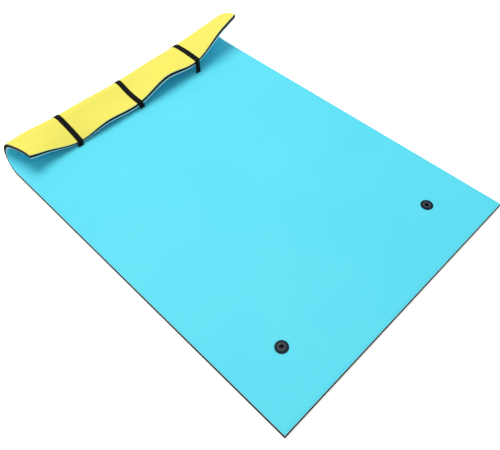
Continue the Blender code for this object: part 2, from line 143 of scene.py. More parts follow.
world = bpy.data.worlds.new("studio")
bpy.context.scene.world = world
world.use_nodes = True
sky = world.node_tree
sky_light = sky.nodes["Background"]
sky_light.inputs["Color"].default_value = WHITE
sky_light.inputs["Strength"].default_value = WORLD_LEVEL
sky_path = node(sky, "ShaderNodeLightPath")
sky_mix = node(sky, "ShaderNodeMixShader")
white_sky = node(sky, "ShaderNodeBackground", Color=WHITE, Strength=1.0)
sky.links.new(sky_path.outputs["Is Camera Ray"], sky_mix.inputs["Fac"])
sky.links.new(sky_light.outputs[0], sky_mix.inputs[1])
sky.links.new(white_sky.outputs[0], sky_mix.inputs[2])
sky.links.new(sky_mix.outputs[0], sky.nodes["World Output"].inputs["Surface"])

lamp_data = bpy.data.lights.new("overhead", "AREA")
lamp_data.size = LAMP_SIZE
lamp_data.energy = LAMP_WATTS
lamp = bpy.data.objects.new("overhead", lamp_data)
lamp.location = LAMP_PLACE
lamp.rotation_euler = (-Vector(LAMP_PLACE)).to_track_quat("-Z", "Y").to_euler()
bpy.context.collection.objects.link(lamp)

floor_values = {"Base_Color": (*FLOOR_COLOUR, 1.0), "Roughness": FLOOR_ROUGHNESS}
floor_look, floor_tree, floor_shader = new_look("studio_floor", **floor_values)
floor_path = node(floor_tree, "ShaderNodeLightPath")
floor_lift = node(floor_tree, "ShaderNodeEmission", Color=WHITE)
lift_level = node(floor_tree, "ShaderNodeMath", operation="MULTIPLY")
lift_level.inputs[1].default_value = FLOOR_LIFT
floor_sum = node(floor_tree, "ShaderNodeAddShader")
floor_end = floor_tree.nodes["Material Output"]
floor_tree.links.new(floor_path.outputs["Is Camera Ray"], lift_level.inputs[0])
floor_tree.links.new(lift_level.outputs[0], floor_lift.inputs["Strength"])
floor_tree.links.new(floor_shader.outputs[0], floor_sum.inputs[0])
floor_tree.links.new(floor_lift.outputs[0], floor_sum.inputs[1])
floor_tree.links.new(floor_sum.outputs[0], floor_end.inputs["Surface"])
floor = floor_sheet("floor", FLOOR_SIZE, 0.0, floor_look)

shaded_look, _, _ = new_look("studio_floor_in_shade", **floor_values)
shaded_floor = floor_sheet("floor_under_mat", SHADED_SIZE, SHADED_LEVEL, shaded_look)
bpy.context.scene.view_settings.view_transform = "Standard"
print("floor and lamp placed")

# %% [markdown]
# ## Foam finishes
# Closed-cell foam sheet has a smooth, slightly leathery skin with a satin sheen, and its cut edge
# shows the open cells: rougher than the skin, and paler, which on the yellow and blue sheets is
# partly the cells and partly a painted highlight along the rims. Two scales of noise make the skin,
# a broad one that paints uneven light, shifting the colour by a few parts in a hundred as light
# does on a sheet that is never quite flat, and a fine one for the orange-peel grain. The cut edge
# gets a coarser, cellular bump.

# %% Foam finishes
GRAIN_SCALE = 420.0
UNEVEN_LIGHT_SCALE = 1.6
CELL_SCALE = 700.0
FOAM_SPECULAR = 0.2
SHEEN_ROUGHNESS = 0.6
SKIN_GLOSS_SPREAD = 0.08
CUT_ROUGHNESS = 0.85


def pattern(tree, kind, **values):
    """A texture node that follows the piece it is on."""
    place = node(tree, "ShaderNodeTexCoord")
    made = node(tree, kind, **values)
    tree.links.new(place.outputs["Object"], made.inputs["Vector"])
    return made


def two_colours(tree, shader, share, first, second):
    """Colours a shader between two colours, by a node's output."""
    tint = node(tree, "ShaderNodeMix", data_type="RGBA")
    tint.inputs[6].default_value = (*first, 1.0)
    tint.inputs[7].default_value = (*second, 1.0)
    tree.links.new(share, tint.inputs["Factor"])
    tree.links.new(tint.outputs[2], shader.inputs["Base Color"])


def uneven_gloss(tree, shader, share, low, high):
    """Varies a shader's roughness between two values, by a node's output."""
    gloss = node(tree, "ShaderNodeMapRange")
    gloss.inputs["To Min"].default_value = low
    gloss.inputs["To Max"].default_value = high
    tree.links.new(share, gloss.inputs["Value"])
    tree.links.new(gloss.outputs["Result"], shader.inputs["Roughness"])


def relief(tree, shader, height, strength, distance):
    """Bumps a shader's surface, by a node's output."""
    bump = node(tree, "ShaderNodeBump", Strength=strength, Distance=distance)
    tree.links.new(height, bump.inputs["Height"])
    tree.links.new(bump.outputs["Normal"], shader.inputs["Normal"])


def foam_look(name, colour, second_colour, roughness, sheen):
    """The moulded skin of a foam sheet, in two close colours mixed by painted uneven light."""
    look, tree, shader = new_look(name, Specular_IOR_Level=FOAM_SPECULAR, Sheen_Weight=sheen,
                                  Sheen_Roughness=SHEEN_ROUGHNESS)
    # The broad noise is painted uneven light: it mixes the two colours of the skin.
    painted_light = pattern(tree, "ShaderNodeTexNoise", Scale=UNEVEN_LIGHT_SCALE, Detail=4.0, Roughness=0.55)
    grain = pattern(tree, "ShaderNodeTexNoise", Scale=GRAIN_SCALE, Detail=3.0, Roughness=0.6)
    two_colours(tree, shader, painted_light.outputs["Fac"], colour, second_colour)
    uneven_gloss(tree, shader, grain.outputs["Fac"], roughness - SKIN_GLOSS_SPREAD,
                 roughness + SKIN_GLOSS_SPREAD)
    relief(tree, shader, grain.outputs["Fac"], strength=0.25, distance=0.0004)
    return look


def cut_look(name, colour, cell_colour):
    """The sawn edge of a foam sheet, where the open cells show; pale yellow and blue cut colours
    given to it are partly a painted highlight.
    """
    look, tree, shader = new_look(name, Specular_IOR_Level=FOAM_SPECULAR, Roughness=CUT_ROUGHNESS)
    cells = pattern(tree, "ShaderNodeTexVoronoi", Scale=CELL_SCALE)
    two_colours(tree, shader, cells.outputs["Distance"], cell_colour, colour)
    relief(tree, shader, cells.outputs["Distance"], strength=0.5, distance=0.0006)
    return look


# Each layer's skin, its cut edge and its material slot.
FOAM = {
    "yellow_skin": (
        foam_look("yellow_foam_skin", (0.93, 0.84, 0.10), (0.97, 0.89, 0.155), 0.55, 0.03),
        # The pale yellow cut colour is partly the open cells and partly a painted highlight along
        # the rim.
        cut_look("yellow_foam_cut_and_painted_highlight", (1.0, 0.96, 0.60), (0.96, 0.88, 0.38)),
        "yellow_foam",
    ),
    "core": (
        foam_look("black_foam_skin", (0.010, 0.010, 0.012), (0.016, 0.016, 0.018), 0.75, 0.0),
        cut_look("black_foam_cut", (0.014, 0.014, 0.016), (0.006, 0.006, 0.007)),
        "black_foam",
    ),
    "blue_deck": (
        foam_look("blue_foam_skin", (0.095, 0.75, 0.93), (0.135, 0.82, 0.98), 0.5, 0.03),
        # The near-white blue cut colour is partly the open cells and partly a painted highlight
        # along the rim.
        cut_look("blue_foam_cut_and_painted_highlight", (0.84, 0.97, 1.0), (0.66, 0.92, 0.98)),
        "blue_foam",
    ),
}
print("foam finishes:", list(FOAM))

# %% [markdown]
# ## The shape of the folded sheet
# One sheet of foam doesn't stretch, so its shape is told by how far its heading has turned at each
# distance along it. Nine stations across the mat each say where the sheet leaves the floor, how
# long its bend is, how far it turns there, how much it curls after and how far it drifts sideways.
# Lengths are shares of a named length, and turns are in degrees. A smooth curve joins the stations,
# and adding up small steps along each heading gives the places. The solids come from the same rule.

# %% The folded sheet
NEAR_EDGE_TO_SLOTS = 2.183
SLOTS_X = NEAR_EDGE_TO_SLOTS / 2
HALF_WIDTH = 0.915
FLAP_LENGTH = 0.19
BEND_LENGTH = 0.19
LIFT_OFF = 0.22
FREE_EDGE = LIFT_OFF + BEND_LENGTH + FLAP_LENGTH
SIDE_SHIFT = 0.04
SHIFT_LEAD = 0.10
TIGHT_SHARE = 0.35
STATION_SHARES = (-1.0, -0.84, -0.56, -0.28, 0.0, 0.28, 0.56, 0.84, 1.0)
LIFT_SHARES = (0.911, 0.948, 0.965, 0.997, 1.001, 0.983, 0.94, 0.951, 0.92)
BEND_SHARES = (1.052, 1.039, 1.013, 0.935, 0.913, 1.003, 1.108, 1.15, 1.102)
BEND_TURNS = (139.1, 156.2, 181.0, 181.8, 196.5, 195.9, 197.8, 182.8, 173.2)
CURL_TURNS = (28.7, 11.8, 6.7, -13.7, -16.0, -12.1, 6.7, 9.4, 2.5)
SHIFT_SHARES = (1.55, 0.97, 0.31, 0.05, -0.4, -0.3, 0.32, 1.33, 2.4)
COLUMNS, ROWS = 241, 661

# Each layer of the sheet lies between two depths under the yellow face.
SKIN_THICKNESS, CORE_THICKNESS, DECK_THICKNESS = 0.006, 0.017, 0.008
BOND_GAP = 0.0003
CORE_DEPTH = SKIN_THICKNESS + BOND_GAP
DECK_DEPTH = CORE_DEPTH + CORE_THICKNESS + BOND_GAP
THICKNESS = DECK_DEPTH + DECK_THICKNESS
LAYERS = {
    "yellow_skin": (0.0, SKIN_THICKNESS),
    "core": (CORE_DEPTH, CORE_DEPTH + CORE_THICKNESS),
    "blue_deck": (DECK_DEPTH, THICKNESS),
}


def ease(share):
    """Rises from 0 to 1 with a level start and a level end."""
    share = np.clip(share, 0.0, 1.0)
    return share * share * (3 - 2 * share)


def station_curve(values, shares):
    """A smooth curve through one value at each station."""
    places, values = np.array(STATION_SHARES), np.array(values)
    slopes = np.gradient(values, places)
    left = np.clip(np.searchsorted(places, shares, side="right") - 1, 0, len(places) - 2)
    span = places[left + 1] - places[left]
    t = (shares - places[left]) / span
    near = (1 + 2 * t) * (1 - t) ** 2 * values[left] + t * (1 - t) ** 2 * span * slopes[left]
    far = t * t * (3 - 2 * t) * values[left + 1] + t * t * (t - 1) * span * slopes[left + 1]
    return near + far


def lay_sheet():
    """The sheet's middle past the slots: x, y, z and heading, in rows along and columns across."""
    across = np.linspace(-1.0, 1.0, COLUMNS)
    along = np.linspace(0.0, FREE_EDGE, ROWS)[:, None]
    lift = LIFT_OFF * station_curve(LIFT_SHARES, across)
    bend = BEND_LENGTH * station_curve(BEND_SHARES, across)
    shift = -SIDE_SHIFT * station_curve(SHIFT_SHARES, across)
    round_share = np.clip((along - lift) / bend, 0.0, 1.0)
    ramp = round_share - TIGHT_SHARE * np.sin(2 * math.pi * round_share) / (2 * math.pi)
    past_bend = ease((along - lift - bend) / (FREE_EDGE - lift - bend))
    turned = ramp * station_curve(BEND_TURNS, across)
    turned = turned + past_bend * station_curve(CURL_TURNS, across)
    heading = np.radians(turned)

    def travel(rate):
        """Adds up a rate along every column."""
        steps = (rate[1:] + rate[:-1]) / 2 * along[1, 0]
        return np.vstack([np.zeros((1, COLUMNS)), np.cumsum(steps, axis=0)])

    x = SLOTS_X + travel(np.cos(heading))
    start = lift - SHIFT_LEAD
    y = across * HALF_WIDTH + shift * ease((along - start) / (FREE_EDGE - start))
    z = THICKNESS / 2 + travel(np.sin(heading))
    return x, y, z, heading


SHEET = lay_sheet()


def on_sheet(share, reach, depth):
    """Points by share of the half width, reach past the slots and depth under the yellow face."""
    share, reach, depth = np.broadcast_arrays(share, reach, depth)
    column = (share + 1) / 2 * (COLUMNS - 1)
    row = np.clip(reach / FREE_EDGE, 0.0, 1.0) * (ROWS - 1)
    c0 = np.clip(np.floor(column).astype(int), 0, COLUMNS - 2)
    r0 = np.clip(np.floor(row).astype(int), 0, ROWS - 2)
    across, along = column - c0, row - r0

    def read(table):
        """A table's value between its four nearest entries."""
        first = table[r0, c0] * (1 - across) + table[r0, c0 + 1] * across
        second = table[r0 + 1, c0] * (1 - across) + table[r0 + 1, c0 + 1] * across
        return first * (1 - along) + second * along

    x, y, z, heading = (read(table) for table in SHEET)
    outward = THICKNESS / 2 - depth
    beyond = np.minimum(reach, 0.0) + np.maximum(reach - FREE_EDGE, 0.0)
    x = x + beyond * np.cos(heading) + outward * np.sin(heading)
    z = z + beyond * np.sin(heading) - outward * np.cos(heading)
    return np.stack([x, y, z], axis=-1)


outer_line = on_sheet(0.0, np.linspace(0.0, FREE_EDGE, ROWS), 0.0)
print("the fold's back is at x", round(float(outer_line[:, 0].max()), 4))

# %% [markdown]
# ## Where the pieces meet
# The fold turns on five hinge lines. A piece that crosses a hinge has to bend there, so the pieces
# meet halfway between two hinges, where nothing bends. Each meeting is a plane through the middle
# of the roll, like the cuts of a cake, and every column of the sheet is followed until it crosses
# it.

# %% Where the pieces meet
JOINTS = {joint["name"]: joint for joint in frame["joints"]}
HINGE_NAMES = ["pillow_unroll", "fold_2_unroll", "fold_3_unroll", "fold_4_unroll", "flap_unroll"]
HINGE_TURNS = (10.0, 58.0, 94.0, 130.0, 166.0)
SEAM_TURNS = (34.0, 76.0, 112.0, 148.0, 184.0)
BED_END = 0.16
roll_radius = outer_line[:, 2].max() / 2
roll_middle = np.array([outer_line[:, 0].max() - roll_radius, roll_radius])
share_table = np.linspace(-1.0, 1.0, COLUMNS)


def directions(turn_angle):
    """Out of the roll, and on round it, at a turn in degrees, in x and z."""
    angle = math.radians(turn_angle)
    outward = np.array([math.sin(angle), -math.cos(angle)])
    onward = np.array([math.cos(angle), math.sin(angle)])
    return outward, onward


def seam_reaches(turn_angle):
    """How far past the slots each column of the sheet's middle crosses a plane through the roll."""
    outward, onward = directions(turn_angle)
    reaches = np.linspace(0.0, FREE_EDGE, ROWS)
    points = on_sheet(share_table, reaches[:, None], THICKNESS / 2)[..., (0, 2)] - roll_middle
    past = points @ onward
    crossing = (past[:-1] < 0) & (past[1:] >= 0) & (points[:-1] @ outward > 0)
    first = crossing.argmax(axis=0)
    columns = np.arange(COLUMNS)
    low, high = past[first, columns], past[first + 1, columns]
    return reaches[first] + (reaches[1] - reaches[0]) * -low / (high - low)


SEAMS = [np.full(COLUMNS, BED_END)] + [seam_reaches(angle) for angle in SEAM_TURNS]
EDGES = [np.full(COLUMNS, -NEAR_EDGE_TO_SLOTS), np.full(COLUMNS, FREE_EDGE)]
print("seams at mid width:", [round(float(seam[COLUMNS // 2]), 4) for seam in SEAMS])

# %% [markdown]
# ## A layer of foam
# Every foam piece starts as a flat grid. Each grid point knows its share of the width and its reach
# along the sheet, moves to its place on the sheet's outer face, and is extruded to the inner face.
# The two long faces keep the moulded skin, and the walls are cut foam. Rims that show are bevelled,
# because a blade leaves a soft corner on foam. At the near edge and both sides the core stands out
# a little past its skins, which gives the full dark line round the mat. The two numbers of each
# point also become the piece's UV map.

# %% A layer of foam
RIM_BEVEL = 0.0009
CORE_OVERHANG = 0.002
SKIN_SETBACK = 0.0015
SMOOTH_ANGLE = 40.0
TOLERANCE = 1e-5
RIM_TESTS = {
    "left": lambda share, reach: share > 1 - TOLERANCE,
    "right": lambda share, reach: share < TOLERANCE - 1,
    "near": lambda share, reach: reach < TOLERANCE - NEAR_EDGE_TO_SLOTS,
    "free": lambda share, reach: reach > FREE_EDGE - TOLERANCE,
}
RIM_WAYS = {"left": (0.0, 1.0, 0.0), "right": (0.0, -1.0, 0.0), "near": (-1.0, 0.0, 0.0)}


def link_piece(name, bm, looks):
    """Makes the finished mesh an object at the origin."""
    mesh = bpy.data.meshes.new(name)
    bm.to_mesh(mesh)
    bm.free()
    mesh.shade_smooth()
    mesh.set_sharp_from_angle(angle=math.radians(SMOOTH_ANGLE))
    for look in looks:
        mesh.materials.append(look)
    piece = bpy.data.objects.new(name, mesh)
    bpy.context.collection.objects.link(piece)
    return piece


def lift_faces(bm, faces):
    """Extrudes faces, and gives the vertices of their copies, which have still to be moved."""
    made = bmesh.ops.extrude_face_region(bm, geom=list(faces))["geom"]
    return [item for item in made if isinstance(item, bmesh.types.BMVert)]


def round_edges(bm, edges, offset):
    """Bevels edges in two steps, in the look of the faces beside them."""
    bmesh.ops.bevel(bm, geom=edges, offset=offset, affect="EDGES", segments=2, profile=0.5,
                    material=-1, clamp_overlap=True)


def foam_piece(name, layer, first, last, steps, columns, rims, low=-1.0, high=1.0):
    """One layer of foam between two seams, over part of the width, with the named rims bevelled."""
    outer, inner = LAYERS[layer]
    bm = bmesh.new()
    bmesh.ops.create_grid(bm, x_segments=columns, y_segments=steps, size=0.5)
    share_of = bm.verts.layers.float.new("share")
    reach_of = bm.verts.layers.float.new("reach")
    verts = list(bm.verts)
    grid = np.array([vert.co for vert in verts])
    shares = low + (high - low) * (grid[:, 0] + 0.5)
    starts = np.interp(shares, share_table, first)
    ends = np.interp(shares, share_table, last)
    reaches = starts + (ends - starts) * (grid[:, 1] + 0.5)
    places = on_sheet(shares, reaches, outer)
    for vert, share, reach, place in zip(verts, shares, reaches, places):
        vert[share_of], vert[reach_of] = share, reach
        vert.co = place
    lifted = lift_faces(bm, bm.faces)
    shares = [vert[share_of] for vert in lifted]
    reaches = [vert[reach_of] for vert in lifted]
    for vert, place in zip(lifted, on_sheet(shares, reaches, inner)):
        vert.co = place
    move_rims(bm, share_of, reach_of, CORE_OVERHANG if layer == "core" else -SKIN_SETBACK)
    bmesh.ops.recalc_face_normals(bm, faces=bm.faces)
    mark_walls(bm, set(lifted))
    map_faces(bm, share_of, reach_of)
    soften_rims(bm, set(lifted), share_of, reach_of, rims)
    skin, cut, slot = FOAM[layer]
    piece = link_piece(name, bm, (skin, cut))
    return piece


def move_rims(bm, share_of, reach_of, amount):
    """Moves the near edge and both sides out by an amount, or in where it is negative."""
    for vert in bm.verts:
        for rim, way in RIM_WAYS.items():
            if RIM_TESTS[rim](vert[share_of], vert[reach_of]):
                vert.co += amount * Vector(way)


def mark_walls(bm, lifted):
    """Gives the faces that join the two grids the cut look."""
    for face in bm.faces:
        raised = sum(vert in lifted for vert in face.verts)
        if 0 < raised < len(face.verts):
            face.material_index = 1


def map_faces(bm, share_of, reach_of):
    """Each corner's place on the flat sheet, in metres, as its UV."""
    flat = bm.loops.layers.uv.new("flat_sheet")
    for face in bm.faces:
        for loop in face.loops:
            loop[flat].uv = (loop.vert[share_of] * HALF_WIDTH, loop.vert[reach_of])


def soften_rims(bm, lifted, share_of, reach_of, rims):
    """Bevels the long edges of each named rim."""
    def runs_along(edge, rim):
        return all(RIM_TESTS[rim](vert[share_of], vert[reach_of]) for vert in edge.verts)

    sharp = [edge for edge in bm.edges
             if (edge.verts[0] in lifted) == (edge.verts[1] in lifted)
             and any(runs_along(edge, rim) for rim in rims)]
    round_edges(bm, sharp, RIM_BEVEL)


print("rims are rounded by", RIM_BEVEL)

# %% [markdown]
# ## Holes through the foam
# The deck is punched for two grommets and slit for three straps, and the skin below is grooved
# where the straps run, so that the mat lies flat. Each hole is cut by a plain closed shape, and the
# cut is made final at once, so nothing but foam is left.

# %% Holes through the foam
GROMMETS = {"left": (-0.7915, 0.615), "right": (-0.7915, -0.615)}
STRAPS = {"left": 0.499, "middle": -0.011, "right": -0.521}
STRAP_WIDTH = 0.038
STRAP_THICKNESS = 0.002
STRAP_CLEARANCE = 0.0006
STRAP_FLOOR_GAP = 0.0005
SLOT_WIDTH, SLOT_LENGTH = 0.004, 0.040
SEAT_RADIUS, SEAT_TOP = 0.0304, 0.0028
HOLE_RADIUS = 0.0159
CUT_OVERRUN = 0.01
ROUND_STEPS = 96
GROOVE_STEPS = 12


def round_plug(bm, place, radius, low, high):
    """An upright cylinder between two heights."""
    made = bmesh.ops.create_cone(bm, cap_ends=True, segments=ROUND_STEPS, radius1=radius,
                                 radius2=radius, depth=high - low)["verts"]
    bmesh.ops.translate(bm, verts=made, vec=(*place, (low + high) / 2))


def slit(bm, x, y):
    """An upright box through the whole mat, as long as a strap is wide."""
    made = bmesh.ops.create_cube(bm, size=1.0)["verts"]
    bmesh.ops.scale(bm, verts=made, vec=(SLOT_WIDTH, SLOT_LENGTH, THICKNESS + 2 * CUT_OVERRUN))
    bmesh.ops.translate(bm, verts=made, vec=(x, y, THICKNESS / 2))


def punch(piece, shapes):
    """Cuts the shapes that a function adds to a bmesh out of a piece, for good."""
    bm = bmesh.new()
    shapes(bm)
    mesh = bpy.data.meshes.new("punch")
    bm.to_mesh(mesh)
    bm.free()
    tool = bpy.data.objects.new("punch", mesh)
    bpy.context.collection.objects.link(tool)
    cutting = piece.modifiers.new("punch", "BOOLEAN")
    cutting.operation = "DIFFERENCE"
    cutting.solver = "EXACT"
    cutting.object = tool
    bpy.context.view_layer.update()
    cut_piece = piece.evaluated_get(bpy.context.evaluated_depsgraph_get())
    cut_mesh = bpy.data.meshes.new_from_object(cut_piece)
    piece.modifiers.clear()
    piece.data = cut_mesh
    piece.data.name = piece.name
    bpy.data.objects.remove(tool, do_unlink=True)


def all_holes(bm):
    """The grommets' holes and the straps' slots, which go through every layer."""
    for place in GROMMETS.values():
        round_plug(bm, place, HOLE_RADIUS, -CUT_OVERRUN, THICKNESS + CUT_OVERRUN)
    for y in STRAPS.values():
        slit(bm, SLOTS_X, y)


def washer_seats(bm):
    """The wider seats for the washers, in the underside only."""
    for place in GROMMETS.values():
        round_plug(bm, place, SEAT_RADIUS, -CUT_OVERRUN, SEAT_TOP)


def strap_grooves(bm):
    """A channel under each strap, from its slot to where the sheet has left the floor."""
    reaches = np.linspace(0.0, LIFT_OFF + SHIFT_LEAD / 2, GROOVE_STEPS)
    rows = GROOVE_STEPS - 1
    half = (STRAP_WIDTH + SLOT_LENGTH) / 4 / HALF_WIDTH
    for y in STRAPS.values():
        rails = on_sheet(y / HALF_WIDTH + np.array([[-half], [half]]), reaches, 0.0)
        strip = bmesh.ops.create_grid(bm, x_segments=1, y_segments=rows, size=0.5)["verts"]
        for vert in strip:
            side, step = round(vert.co.x + 0.5), round((vert.co.y + 0.5) * rows)
            vert.co = (rails[side, step, 0], rails[side, step, 1], -CUT_OVERRUN)
        for vert in lift_faces(bm, [face for face in bm.faces if set(face.verts) <= set(strip)]):
            vert.co.z = STRAP_FLOOR_GAP + STRAP_THICKNESS + STRAP_CLEARANCE
    bmesh.ops.recalc_face_normals(bm, faces=bm.faces)


print("holes for", len(GROMMETS), "grommets and", len(STRAPS), "straps")

# %% [markdown]
# ## The flat bed
# Most of the mat lies flat on the ground. Its three layers are one piece each, from the near edge
# to a hand's width before the fold, and they ride on the mat's own body.

# %% The flat bed
BED_COLUMNS, BED_STEPS = 120, 100

for layer in LAYERS:
    bed = foam_piece("bed_" + layer, layer, EDGES[0], SEAMS[0], BED_STEPS, BED_COLUMNS,
                     rims=("left", "right", "near"))
    punch(bed, all_holes)
    if layer == "yellow_skin":
        punch(bed, washer_seats)
        punch(bed, strap_grooves)
    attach(bed, "mat")
    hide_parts("mat_" + layer)
    print(bed.name, len(bed.data.polygons), "faces")

# %% [markdown]
# ## The rolled end
# Five short stretches make the bend. Each one crosses one hinge line. For each hinge the script
# works out a zone of up to a centimetre either side of it, which stops short of both seams, and
# prints it.

# %% The rolled end
CHAIN = ["mat", "fold_1", "fold_2", "fold_3", "fold_4", "flap"]
ROLL_COLUMNS, ROLL_STEPS, FIRST_ROLL_STEPS = 120, 22, 66
BLEND_REACH = 0.010


def hinge_zone(number):
    """Where the bending at a hinge line starts and ends, clear of the seams on both sides."""
    _, onward = directions(HINGE_TURNS[number])
    place = np.array(JOINTS[HINGE_NAMES[number]]["pos_m"])
    ahead = np.array([onward[0], 0.0, onward[1]])
    both_faces = np.array([[0.0], [THICKNESS]])
    before = on_sheet(share_table, SEAMS[number], both_faces) - place
    after = on_sheet(share_table, SEAMS[number + 1], both_faces) - place
    back = min(BLEND_REACH, float(-(before @ ahead).max()))
    onto = min(BLEND_REACH, float((after @ ahead).min()))
    return place - ahead * back, place + ahead * onto


for number in range(len(HINGE_TURNS)):
    start, end = hinge_zone(number)
    steps = FIRST_ROLL_STEPS if number == 0 else ROLL_STEPS
    for layer in LAYERS:
        turn_piece = foam_piece(f"turn_{number + 1}_{layer}", layer, SEAMS[number],
                                SEAMS[number + 1], steps, ROLL_COLUMNS, rims=("left", "right"))
        if number == 0 and layer == "yellow_skin":
            punch(turn_piece, strap_grooves)
        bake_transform(turn_piece)
        if CHAIN[number + 1] != "flap":
            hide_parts(f"{CHAIN[number + 1]}_{layer}")
    print("turn", number + 1, "bends from", np.round(start, 3), "to", np.round(end, 3))

# %% [markdown]
# ## The flap and its corners
# The rest of the folded end is the top of the pillow. Its two corners stand up, and lie down along
# a slanted crease as the pillow unrolls. So the flap is made in two halves, and for each half the
# script works out where a crease towards its own corner would start and end, and prints it.

# %% The flap and its corners
FLAP_COLUMNS, FLAP_STEPS = 64, 100
CREASE_WIDTH = 0.07
CREASE_SAMPLES = 60


def unit(vectors):
    """Each vector made one long."""
    return vectors / np.linalg.norm(vectors, axis=-1, keepdims=True)


def square_to(vectors, axes):
    """Each vector without its part along a unit axis."""
    return vectors - axes * (vectors * axes).sum(axis=-1, keepdims=True)


def crease_zone(side, sign):
    """Where the bending along a corner's crease starts and ends."""
    joint = JOINTS[side + "_corner_lie_down"]
    place, axis = np.array(joint["pos_m"]), unit(np.array(joint["axis"]))
    away = unit(square_to(on_sheet(sign, FREE_EDGE, THICKNESS / 2) - place, axis))
    shares = np.linspace(0.0, sign, CREASE_SAMPLES)
    seam = on_sheet(shares, np.interp(shares, share_table, SEAMS[-1]), THICKNESS / 2)
    nearest = max(0.0, ((seam - place) @ away).max())
    return place + away * nearest, place + away * (nearest + CREASE_WIDTH)


for side, sign in (("left", 1.0), ("right", -1.0)):
    start, end = crease_zone(side, sign)
    for layer in LAYERS:
        low, high = min(0.0, sign), max(0.0, sign)
        half = foam_piece(f"flap_{side}_{layer}", layer, SEAMS[-1], EDGES[1], FLAP_STEPS,
                          FLAP_COLUMNS, (side, "free"), low, high)
        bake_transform(half)
        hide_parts("flap_" + layer, f"{side}_corner_{layer}")
    print(side, "corner bends from", np.round(start, 3), "to", np.round(end, 3))

# %% [markdown]
# ## Webbing
# The straps are woven nylon with a hook-and-loop face. A weave is two sets of yarns that pass over
# and under each other: one wave along the strap times one across it gives the checks, and a noise
# breaks them up into loops. The pattern reads the strap's own UV map, in metres, so it follows
# every bend.

# %% Webbing finish
YARN_REPEAT = 0.0022
FUZZ_SCALE = 900.0
WEBBING_COLOURS = (0.004, 0.0032, 0.004), (0.013, 0.010, 0.009)


def webbing_look():
    """Black woven webbing."""
    look, tree, shader = new_look("black_webbing_weave", Roughness=0.85, Specular_IOR_Level=0.12,
                                  Sheen_Weight=0.02, Sheen_Roughness=0.5)
    place = node(tree, "ShaderNodeUVMap", uv_map="flat_strap")
    split = node(tree, "ShaderNodeSeparateXYZ")
    weave = node(tree, "ShaderNodeMath", operation="MULTIPLY")
    fuzz = node(tree, "ShaderNodeTexNoise", Scale=FUZZ_SCALE, Detail=2.0)
    height = node(tree, "ShaderNodeMath", operation="ADD")
    shade = node(tree, "ShaderNodeMapRange")
    shade.inputs["From Min"].default_value = -1.0
    shade.inputs["From Max"].default_value = 2.0
    tree.links.new(place.outputs["UV"], split.inputs["Vector"])
    for number, axis in enumerate("XY"):
        turned = node(tree, "ShaderNodeMath", operation="MULTIPLY")
        turned.inputs[1].default_value = 2 * math.pi / YARN_REPEAT
        wave = node(tree, "ShaderNodeMath", operation="SINE")
        tree.links.new(split.outputs[axis], turned.inputs[0])
        tree.links.new(turned.outputs[0], wave.inputs[0])
        tree.links.new(wave.outputs[0], weave.inputs[number])
    tree.links.new(place.outputs["UV"], fuzz.inputs["Vector"])
    tree.links.new(weave.outputs[0], height.inputs[0])
    tree.links.new(fuzz.outputs["Fac"], height.inputs[1])
    tree.links.new(height.outputs[0], shade.inputs["Value"])
    two_colours(tree, shader, shade.outputs["Result"], *WEBBING_COLOURS)
    relief(tree, shader, height.outputs[0], strength=0.6, distance=0.0005)
    return look


WEBBING = webbing_look()
print("webbing yarns every", round(YARN_REPEAT * 1000, 2), "mm")

# %% [markdown]
# ## Strap stretches
# A strap is a flat ribbon, so it is made like the foam: a narrow grid that follows a line of
# places, extruded by the strap's thickness along the line's own outward direction. Its long edges
# are bevelled round, as a woven selvedge is.

# %% Strap stretches
STRAP_COLUMNS = 8
SELVEDGE = 0.0007


def ribbon(name, middles, across, outward, lengths):
    """A strap stretch, from its middles, unit directions across and outward, and lengths along."""
    bm = bmesh.new()
    rows = len(middles) - 1
    bmesh.ops.create_grid(bm, x_segments=STRAP_COLUMNS, y_segments=rows, size=0.5)
    step_of = bm.verts.layers.int.new("step")
    across_of = bm.verts.layers.float.new("across")
    outer = middles + outward * STRAP_THICKNESS / 2
    for vert in bm.verts:
        step = round((vert.co.y + 0.5) * rows)
        vert[step_of], vert[across_of] = step, vert.co.x * STRAP_WIDTH
        vert.co = outer[step] + across[step] * vert[across_of]
    lifted = set(lift_faces(bm, bm.faces))
    for vert in lifted:
        vert.co -= Vector(outward[vert[step_of]] * STRAP_THICKNESS)
    bmesh.ops.recalc_face_normals(bm, faces=bm.faces)
    flat = bm.loops.layers.uv.new("flat_strap")
    for face in bm.faces:
        for loop in face.loops:
            loop[flat].uv = (loop.vert[across_of], lengths[loop.vert[step_of]])

    def on_selvedge(vert):
        return abs(vert[across_of]) > STRAP_WIDTH / 2 - TOLERANCE

    edges = [edge for edge in bm.edges
             if on_selvedge(edge.verts[0]) and on_selvedge(edge.verts[1])
             and edge.verts[0][step_of] != edge.verts[1][step_of]
             and (edge.verts[0] in lifted) == (edge.verts[1] in lifted)]
    round_edges(bm, edges, SELVEDGE)
    piece = link_piece(name, bm, (WEBBING,))
    return piece


def strap_line(y, reaches):
    """A strap's middles and directions where it lies on the yellow face."""
    share, half = y / HALF_WIDTH, STRAP_WIDTH / 2 / HALF_WIDTH
    depth = -STRAP_CLEARANCE - STRAP_THICKNESS / 2
    left, right = on_sheet(share - half, reaches, depth), on_sheet(share + half, reaches, depth)
    middles = (left + right) / 2
    across = unit(right - left)
    outward = on_sheet(share, reaches, depth) - on_sheet(share, reaches, 0.0)
    outward = unit(square_to(outward, across))
    middles[:, 2] = np.maximum(middles[:, 2], STRAP_FLOOR_GAP + STRAP_THICKNESS / 2)
    return middles, across, outward


